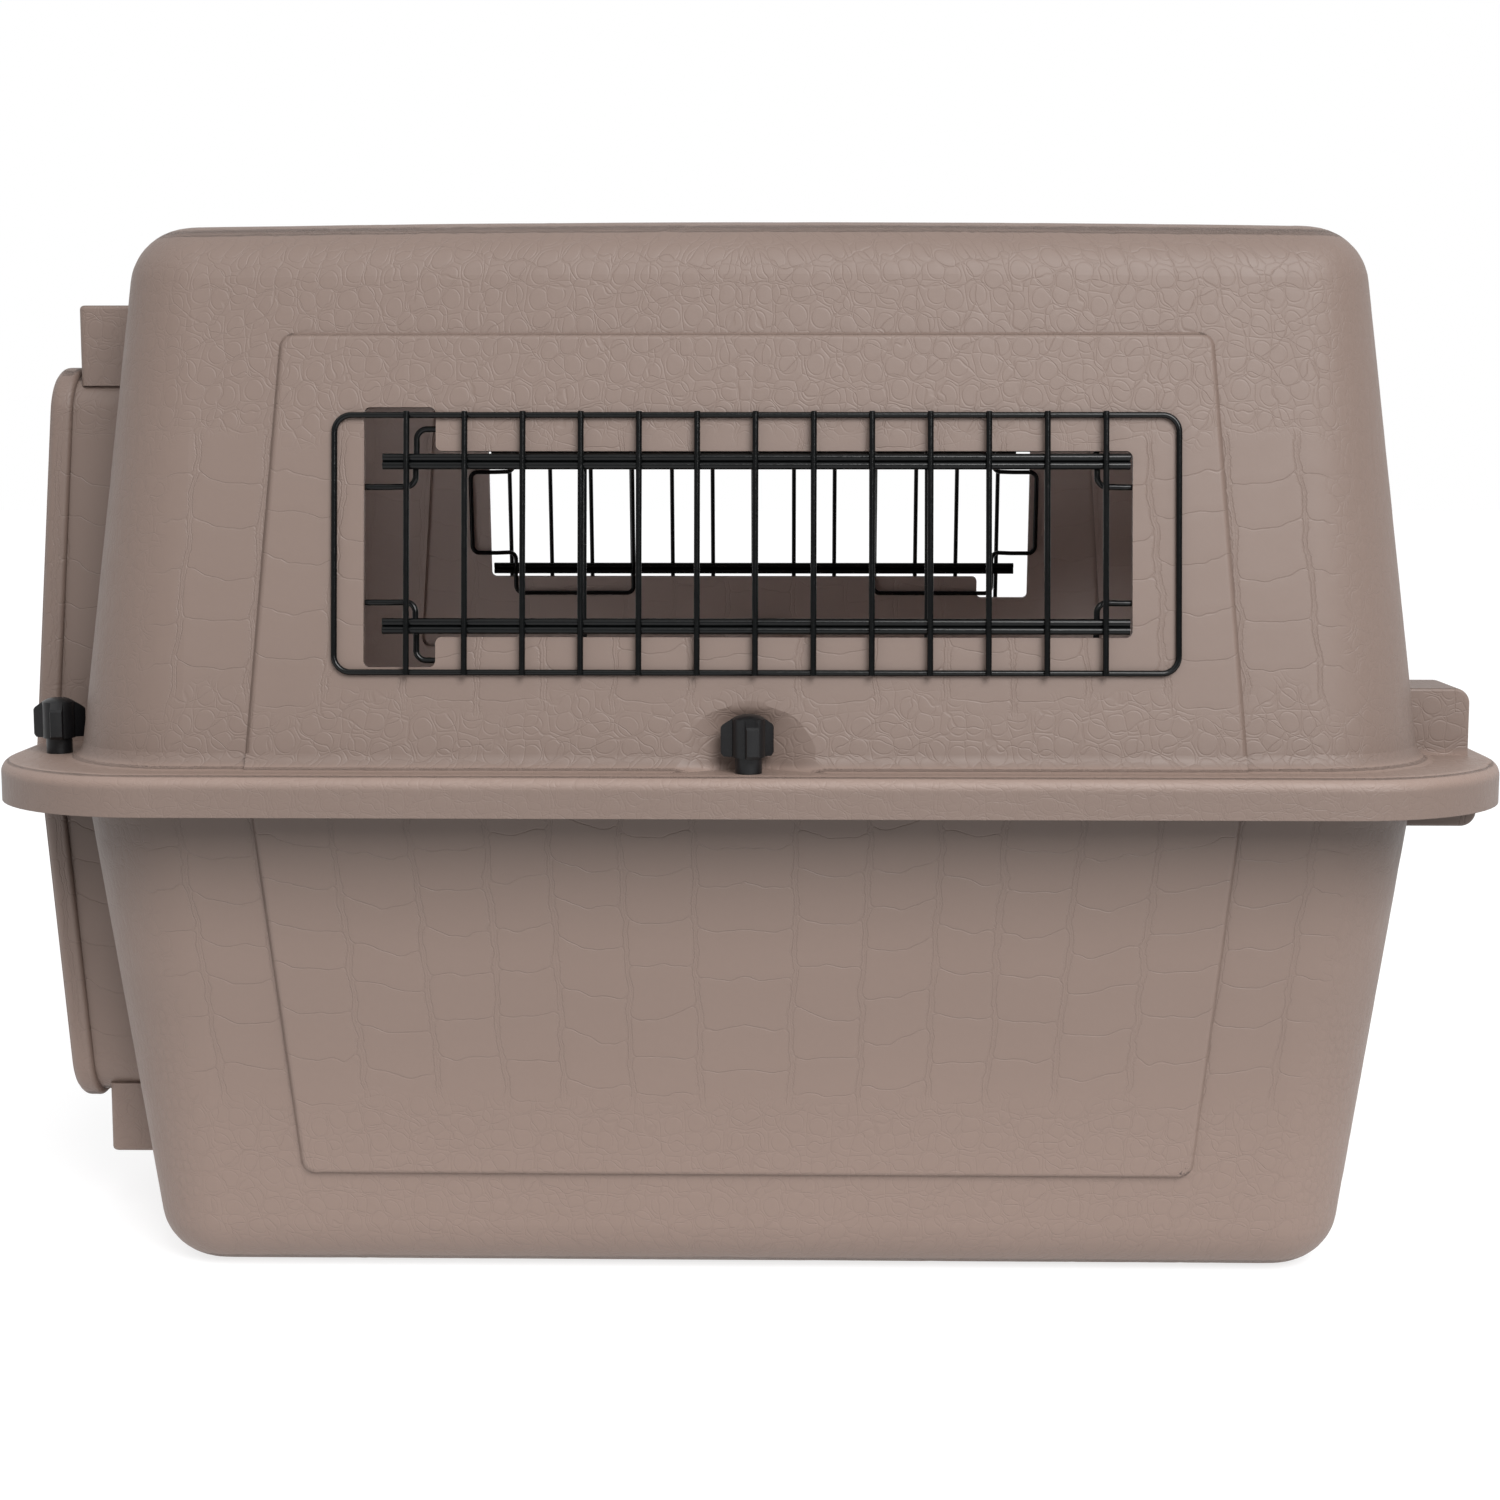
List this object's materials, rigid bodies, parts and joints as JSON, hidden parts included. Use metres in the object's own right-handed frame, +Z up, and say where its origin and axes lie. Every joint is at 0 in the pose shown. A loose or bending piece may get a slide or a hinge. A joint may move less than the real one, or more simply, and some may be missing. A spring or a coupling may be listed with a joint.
{
  "type": "pet transport carrier",
  "caption": "Two-part moulded plastic pet carrier with wire side and rear vents, rim bolts with wing nuts, and a hinged wire door with a squeeze latch.",
  "frame": {"origin": "on the floor under the middle of the carrier", "axes": "+Z up, -X out of the doorway, so +X is the rear; -Y is the carrier's left side"},
  "size_m": [0.701, 0.5512, 0.491],
  "materials": {
    "taupe_shell": "embossed reptile-skin grain, satin to matt",
    "black_wire": "smooth glossy black coating over wire",
    "black_plastic": "satin moulded plastic",
    "zinc_steel": "zinc plated"
  },
  "bodies": {
    "lower_half": {"bottom_shell": "taupe_shell", "flange_bolts": "zinc_steel"},
    "upper_half": {"top_shell": "taupe_shell", "left_vent_grille": "black_wire", "right_vent_grille": "black_wire", "rear_vent_grille": "black_wire"},
    "door": {"door_grid": "black_wire", "door_hinge_rod": "black_wire", "latch_housing": "black_plastic", "latch_back_plate": "black_plastic", "latch_screws": "zinc_steel", "upper_latch_spring": "zinc_steel", "lower_latch_spring": "zinc_steel"},
    "upper_latch": {"upper_latch_rod": "black_wire", "upper_finger_tab": "black_plastic"},
    "lower_latch": {"lower_latch_rod": "black_wire", "lower_finger_tab": "black_plastic"},
    "wing_nut_front_left": {"wing_nut_front_left": "black_plastic"},
    "wing_nut_middle_left": {"wing_nut_middle_left": "black_plastic"},
    "wing_nut_rear_left": {"wing_nut_rear_left": "black_plastic"},
    "wing_nut_front_right": {"wing_nut_front_right": "black_plastic"},
    "wing_nut_middle_right": {"wing_nut_middle_right": "black_plastic"},
    "wing_nut_rear_right": {"wing_nut_rear_right": "black_plastic"}
  },
  "joints": [
    {"name": "top_lift", "type": "slide", "parent": "lower_half", "child": "upper_half", "axis": [0, 0, 1], "range_m": [0, 0.27]},
    {"name": "door_swing", "type": "hinge", "parent": "lower_half", "child": "door", "pos_m": [-0.313, 0.131, 0.245], "axis": [0, 0, -1], "range_deg": [0, 100]},
    {"name": "upper_latch_slide", "type": "slide", "parent": "door", "child": "upper_latch", "axis": [0, 0, 1], "range_m": [0, 0.016], "stiffness_N_per_m": 80, "springref_m": 0.03, "deforming": ["upper_latch_spring"]},
    {"name": "lower_latch_slide", "type": "slide", "parent": "door", "child": "lower_latch", "axis": [0, 0, -1], "range_m": [0, 0.016], "stiffness_N_per_m": 80, "springref_m": 0.03, "deforming": ["lower_latch_spring"]},
    {"name": "wing_nut_front_left_turn", "type": "hinge", "parent": "upper_half", "child": "wing_nut_front_left", "pos_m": [-0.3257, -0.1955, 0.245], "axis": [0, 0, 1], "continuous": true},
    {"name": "wing_nut_middle_left_turn", "type": "hinge", "parent": "upper_half", "child": "wing_nut_middle_left", "pos_m": [0.002, -0.263, 0.245], "axis": [0, 0, 1], "continuous": true},
    {"name": "wing_nut_rear_left_turn", "type": "hinge", "parent": "upper_half", "child": "wing_nut_rear_left", "pos_m": [0.331, -0.12, 0.245], "axis": [0, 0, 1], "continuous": true},
    {"name": "wing_nut_front_right_turn", "type": "hinge", "parent": "upper_half", "child": "wing_nut_front_right", "pos_m": [-0.3257, 0.1955, 0.245], "axis": [0, 0, 1], "continuous": true},
    {"name": "wing_nut_middle_right_turn", "type": "hinge", "parent": "upper_half", "child": "wing_nut_middle_right", "pos_m": [0.002, 0.263, 0.245], "axis": [0, 0, 1], "continuous": true},
    {"name": "wing_nut_rear_right_turn", "type": "hinge", "parent": "upper_half", "child": "wing_nut_rear_right", "pos_m": [0.331, 0.12, 0.245], "axis": [0, 0, 1], "continuous": true}
  ]
}
